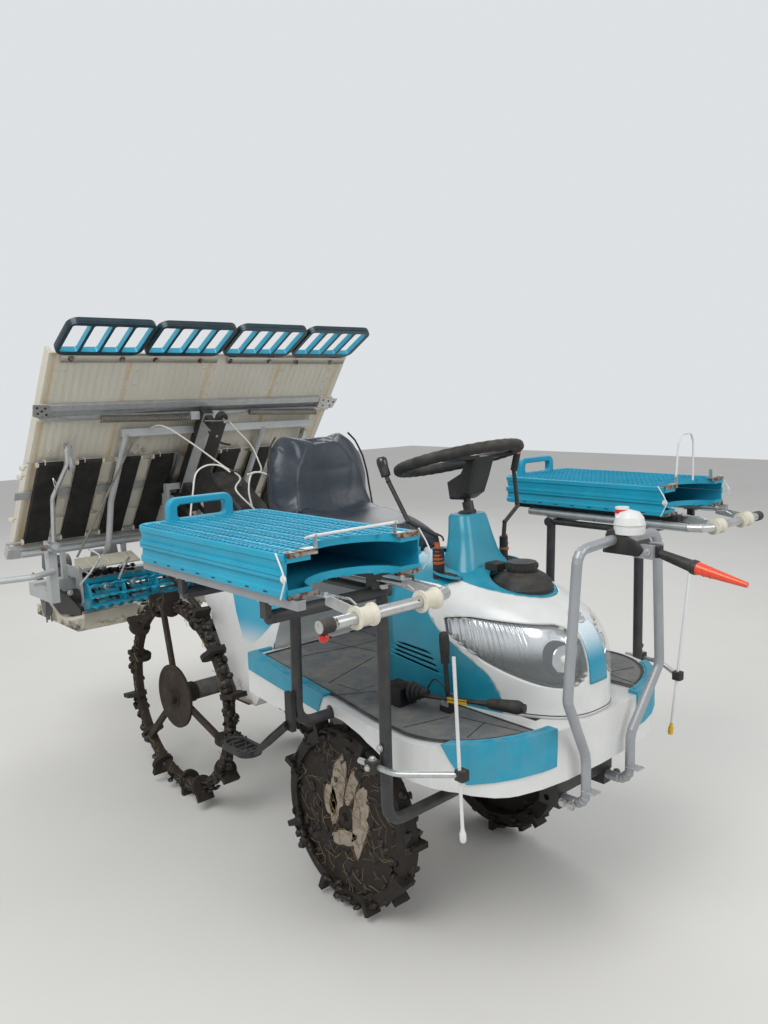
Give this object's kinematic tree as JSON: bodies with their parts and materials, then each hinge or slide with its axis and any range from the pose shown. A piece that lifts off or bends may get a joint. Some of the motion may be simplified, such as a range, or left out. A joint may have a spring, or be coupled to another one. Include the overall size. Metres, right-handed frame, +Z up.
{
  "type": "riding rice transplanter",
  "caption": "Riding rice transplanter with paddle-lug rear wheels, seedling carriers beside the bonnet and a raised planting unit with a sloping seedling table.",
  "frame": {"origin": "middle of the machine's length and width, on the ground under the wheels", "axes": "+X forward, +Y to the machine's left, +Z up"},
  "size_m": [2.9081, 1.698, 1.6769],
  "materials": {
    "frame_grey": "satin grey enamel",
    "engine_grey": "satin",
    "gear_grey": "as cast",
    "cover_white": "gloss moulding",
    "cover_teal": "gloss moulding",
    "mat_grey": "ribbed rubber",
    "pad_teal": "matt moulding",
    "lamp_clear": "clear lens",
    "black_plastic": "matt moulding",
    "black_paint": "satin",
    "zinc": "zinc plated",
    "silver_paint": "silver paint",
    "tray_teal": "injection moulded",
    "white_plastic": "moulding",
    "seat_vinyl": "embossed vinyl over foam",
    "tyre_mud": "rubber with dried mud",
    "rim_mud": "steel with dried mud",
    "marker_orange": "translucent rod",
    "table_cream": "ribbed moulding",
    "window_teal": "moulding",
    "belt_black": "ribbed belt",
    "rotor_teal": "enamel",
    "rotor_case": "as cast"
  },
  "bodies": {
    "chassis": {"chassis_frame": "frame_grey", "rear_tower": "frame_grey", "engine_block": "engine_grey", "driveline": "gear_grey", "deck_skirt": "cover_white", "floor_mats": "mat_grey", "corner_pads": "pad_teal", "rear_body": "cover_white", "bonnet_cowl": "cover_white", "bonnet_panel": "cover_teal", "side_covers": "cover_teal", "column_cover": "cover_teal", "headlights": "lamp_clear", "fuel_cap": "black_plastic", "steering_column": "black_paint", "front_guard": "silver_paint", "guard_lamp": "white_plastic", "carrier_frame_left": "frame_grey", "carrier_frame_right": "frame_grey", "lower_tray_left": "tray_teal", "lower_tray_right": "tray_teal", "carrier_rails": "zinc", "carrier_rollers": "white_plastic", "side_markers": "zinc", "driver_controls": "black_plastic", "boarding_steps": "black_plastic", "seat_base": "black_paint"},
    "seat_tip": {"seat_pan": "black_paint", "seat": "seat_vinyl"},
    "steering_wheel": {"steering_wheel": "black_plastic"},
    "knuckle_left": {"knuckle_left": "gear_grey"},
    "knuckle_right": {"knuckle_right": "gear_grey"},
    "front_wheel_left": {"front_wheel_left": "tyre_mud"},
    "front_wheel_right": {"front_wheel_right": "tyre_mud"},
    "rear_wheel_left": {"rear_wheel_left": "rim_mud", "rear_lug_ring_left": "tyre_mud"},
    "rear_wheel_right": {"rear_wheel_right": "rim_mud", "rear_lug_ring_right": "tyre_mud"},
    "upper_tray_left": {"upper_tray_left": "tray_teal"},
    "upper_tray_right": {"upper_tray_right": "tray_teal"},
    "centre_marker": {"centre_marker": "black_plastic", "marker_tip": "marker_orange"},
    "lower_link": {"lower_link": "frame_grey"},
    "top_link": {"top_link": "frame_grey"},
    "lift_cylinder": {"lift_cylinder": "gear_grey"},
    "lift_rod": {"lift_rod": "zinc"},
    "planting_unit": {"planting_frame": "zinc", "planting_cases": "rotor_case", "floats": "white_plastic"},
    "seedling_table": {"seedling_table": "table_cream", "table_windows": "window_teal", "table_belts": "belt_black"},
    "planting_rotor_1": {"planting_rotor_1": "rotor_case"},
    "planting_rotor_2": {"planting_rotor_2": "rotor_case"},
    "planting_rotor_3": {"planting_rotor_3": "rotor_case"},
    "planting_rotor_4": {"planting_rotor_4": "rotor_case"},
    "levelling_rotor": {"levelling_rotor": "rotor_teal"},
    "line_marker_left": {"line_marker_left": "zinc"},
    "line_marker_right": {"line_marker_right": "zinc"}
  },
  "joints": [
    {"name": "seat_tilt", "type": "hinge", "parent": "chassis", "child": "seat_tip", "pos_m": [0.386, 0, 0.901], "axis": [0, 1, 0], "range_deg": [0, 50]},
    {"name": "steer_left", "type": "hinge", "parent": "chassis", "child": "knuckle_left", "pos_m": [0.501, 0.225, 0.35], "axis": [0, 0, 1], "range_deg": [-40, 40]},
    {"name": "steer_right", "type": "hinge", "parent": "chassis", "child": "knuckle_right", "pos_m": [0.501, -0.225, 0.35], "axis": [0, 0, 1], "range_deg": [-40, 40]},
    {"name": "steering_wheel_turn", "type": "hinge", "parent": "chassis", "child": "steering_wheel", "pos_m": [0.638, 0, 1.235], "axis": [-0.2588, 0, 0.9659], "range_deg": [-320, 320]},
    {"name": "front_wheel_left_spin", "type": "hinge", "parent": "knuckle_left", "child": "front_wheel_left", "pos_m": [0.501, 0.312, 0.265], "axis": [0, 1, 0], "continuous": true},
    {"name": "rear_wheel_left_spin", "type": "hinge", "parent": "chassis", "child": "rear_wheel_left", "pos_m": [-0.444, 0.3, 0.375], "axis": [0, 1, 0], "continuous": true},
    {"name": "upper_tray_left_flip", "type": "hinge", "parent": "chassis", "child": "upper_tray_left", "pos_m": [0.987, 0.6615, 1.0895], "axis": [0, 1, 0], "range_deg": [0, 180]},
    {"name": "front_wheel_right_spin", "type": "hinge", "parent": "knuckle_right", "child": "front_wheel_right", "pos_m": [0.501, -0.312, 0.265], "axis": [0, 1, 0], "continuous": true},
    {"name": "rear_wheel_right_spin", "type": "hinge", "parent": "chassis", "child": "rear_wheel_right", "pos_m": [-0.444, -0.3, 0.375], "axis": [0, 1, 0], "continuous": true},
    {"name": "upper_tray_right_flip", "type": "hinge", "parent": "chassis", "child": "upper_tray_right", "pos_m": [0.987, -0.6615, 1.0895], "axis": [0, 1, 0], "range_deg": [0, 180]},
    {"name": "centre_marker_fold", "type": "hinge", "parent": "chassis", "child": "centre_marker", "pos_m": [1.232, 0, 1.049], "axis": [0, -1, 0], "range_deg": [0, 100]},
    {"name": "lower_link_lift", "type": "hinge", "parent": "chassis", "child": "lower_link", "pos_m": [-0.514, 0, 0.575], "axis": [0, 1, 0], "range_deg": [-62, 0]},
    {"name": "top_link_swing", "type": "hinge", "parent": "chassis", "child": "top_link", "pos_m": [-0.514, 0, 0.825], "axis": [0, 1, 0], "range_deg": [-62, 0]},
    {"name": "planting_unit_level", "type": "hinge", "parent": "lower_link", "child": "planting_unit", "pos_m": [-0.88484, 0, 0.77218], "axis": [0, 1, 0], "range_deg": [0, 62]},
    {"name": "lift_cylinder_swing", "type": "hinge", "parent": "chassis", "child": "lift_cylinder", "pos_m": [-0.384, 0, 0.805], "axis": [0, 1, 0], "range_deg": [-26.5, 0]},
    {"name": "lift_rod_slide", "type": "slide", "parent": "lift_cylinder", "child": "lift_rod", "axis": [-0.9231, 0, -0.3846], "range_m": [0, 0.136]},
    {"name": "seedling_table_feed", "type": "slide", "parent": "planting_unit", "child": "seedling_table", "axis": [0, 1, 0], "range_m": [-0.14, 0.14]},
    {"name": "planting_rotor_1_spin", "type": "hinge", "parent": "planting_unit", "child": "planting_rotor_1", "pos_m": [-1.244, -0.3, 0.69], "axis": [0, 1, 0], "continuous": true},
    {"name": "planting_rotor_2_spin", "type": "hinge", "parent": "planting_unit", "child": "planting_rotor_2", "pos_m": [-1.244, -0.3, 0.69], "axis": [0, 1, 0], "continuous": true},
    {"name": "planting_rotor_3_spin", "type": "hinge", "parent": "planting_unit", "child": "planting_rotor_3", "pos_m": [-1.244, 0.3, 0.69], "axis": [0, 1, 0], "continuous": true},
    {"name": "planting_rotor_4_spin", "type": "hinge", "parent": "planting_unit", "child": "planting_rotor_4", "pos_m": [-1.244, 0.3, 0.69], "axis": [0, 1, 0], "continuous": true},
    {"name": "levelling_rotor_spin", "type": "hinge", "parent": "planting_unit", "child": "levelling_rotor", "pos_m": [-0.924, 0, 0.68], "axis": [0, 1, 0], "continuous": true},
    {"name": "line_marker_left_fold", "type": "hinge", "parent": "planting_unit", "child": "line_marker_left", "pos_m": [-0.826, 0.56, 0.9], "axis": [-1, 0, 0], "range_deg": [0, 95]},
    {"name": "line_marker_right_fold", "type": "hinge", "parent": "planting_unit", "child": "line_marker_right", "pos_m": [-0.826, -0.56, 0.9], "axis": [1, 0, 0], "range_deg": [0, 95]}
  ],
  "couplings": [
    {"joint": "steer_right", "follows": "steer_left", "ratio": 1},
    {"joint": "steering_wheel_turn", "follows": "steer_left", "ratio": 8},
    {"joint": "top_link_swing", "follows": "lower_link_lift", "ratio": 1},
    {"joint": "planting_unit_level", "follows": "lower_link_lift", "ratio": -1},
    {"joint": "lift_cylinder_swing", "follows": "lower_link_lift", "ratio": 0.417},
    {"joint": "lift_rod_slide", "follows": "lower_link_lift", "m_per_rad": -0.1244},
    {"joint": "planting_rotor_2_spin", "follows": "planting_rotor_1_spin", "ratio": 1},
    {"joint": "planting_rotor_3_spin", "follows": "planting_rotor_1_spin", "ratio": 1},
    {"joint": "planting_rotor_4_spin", "follows": "planting_rotor_1_spin", "ratio": 1}
  ]
}
